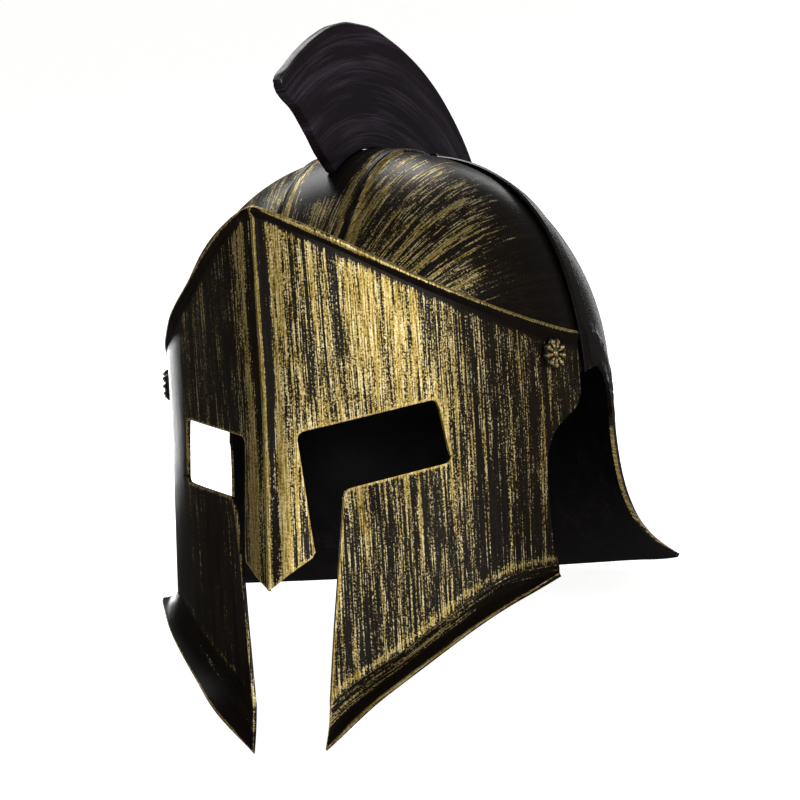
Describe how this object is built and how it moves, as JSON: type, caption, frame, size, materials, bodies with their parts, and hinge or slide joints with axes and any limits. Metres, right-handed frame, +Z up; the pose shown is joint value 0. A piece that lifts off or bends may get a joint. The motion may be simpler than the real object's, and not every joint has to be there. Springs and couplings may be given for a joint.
{
  "type": "gladiator costume helmet with a lifting visor",
  "caption": "Crested costume helmet with a lifting visor on rosette rivets, eye and mouth openings, ear arches and a flared neck guard.",
  "frame": {"origin": "centre of the box round the whole helmet, at the surface it rests on", "axes": "+X to the wearer's left, +Y towards the back, +Z up; the helmet leans back as it rests"},
  "size_m": [0.2292, 0.3098, 0.2949],
  "materials": {
    "dry_brushed_plastic": "black plastic dry-brushed with gold paint",
    "black_plastic": "smooth black plastic",
    "brushed_visor_plastic": "black plastic heavily dry-brushed with gold paint",
    "crest_plastic": "smooth purple-black plastic",
    "gold_painted_plastic": "gold paint rubbed over black plastic"
  },
  "bodies": {
    "helmet": {"skull_front": "dry_brushed_plastic", "rear_shell": "black_plastic", "crest": "crest_plastic"},
    "visor": {"visor": "brushed_visor_plastic", "rivet_left": "gold_painted_plastic", "rivet_right": "gold_painted_plastic"}
  },
  "joints": [
    {"name": "visor_hinge", "type": "hinge", "parent": "helmet", "child": "visor", "pos_m": [0, -0.01719, 0.14009], "axis": [-1, 0, 0], "range_deg": [0, 28]}
  ]
}
